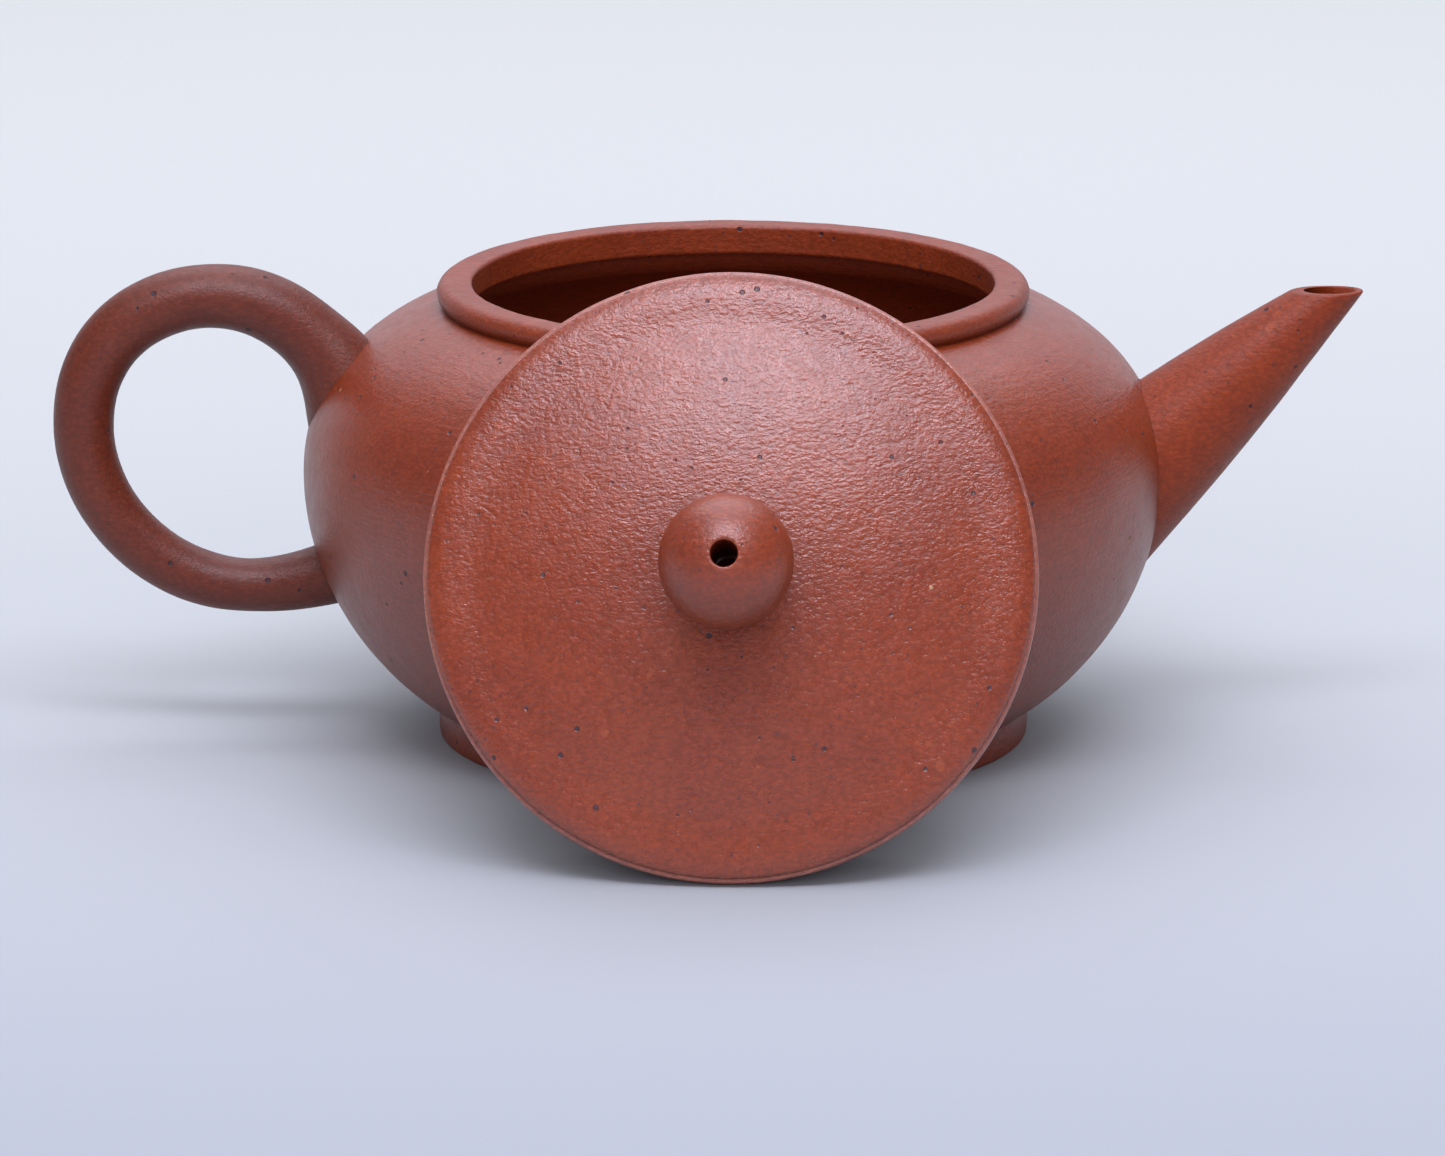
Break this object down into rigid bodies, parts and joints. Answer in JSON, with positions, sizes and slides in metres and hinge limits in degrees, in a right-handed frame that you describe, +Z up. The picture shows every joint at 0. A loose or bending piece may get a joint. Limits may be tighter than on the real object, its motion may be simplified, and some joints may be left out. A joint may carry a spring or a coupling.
{
  "type": "clay teapot",
  "caption": "Small round clay teapot with a straight spout, a loop handle, a strainer and a domed lid with a pierced ball knob, the lid stood on edge in front.",
  "frame": {"origin": "on the table, at the middle of the box round the pot and the lid that stands in front of it", "axes": "+X towards the spout, +Y towards the back of the pot, away from the lid, +Z up"},
  "size_m": [0.124, 0.1072, 0.0532],
  "materials": {
    "pot_clay": "unglazed red-brown clay, fine grain, burnished to a soft satin",
    "inner_clay": "unglazed red-brown clay, left rough and matt",
    "lid_clay": "unglazed red-brown clay with a wrinkled, grainy skin and a soft satin sheen",
    "knob_clay": "unglazed red-brown clay, fine grain, soft satin sheen"
  },
  "bodies": {
    "pot": {"belly_wall": "pot_clay", "shoulder_disc": "pot_clay", "base_disc": "inner_clay", "foot_ring": "pot_clay", "mouth_ring": "pot_clay", "spout": "pot_clay", "strainer": "inner_clay", "handle": "pot_clay"},
    "lid": {"lid_dome": "lid_clay", "lid_seat_ring": "lid_clay", "lid_collar": "lid_clay", "knob": "knob_clay"}
  },
  "joints": [
    {"name": "lid_lift", "type": "slide", "parent": "pot", "child": "lid", "axis": [0, 0, 1], "range_m": [0, 0.06]}
  ]
}
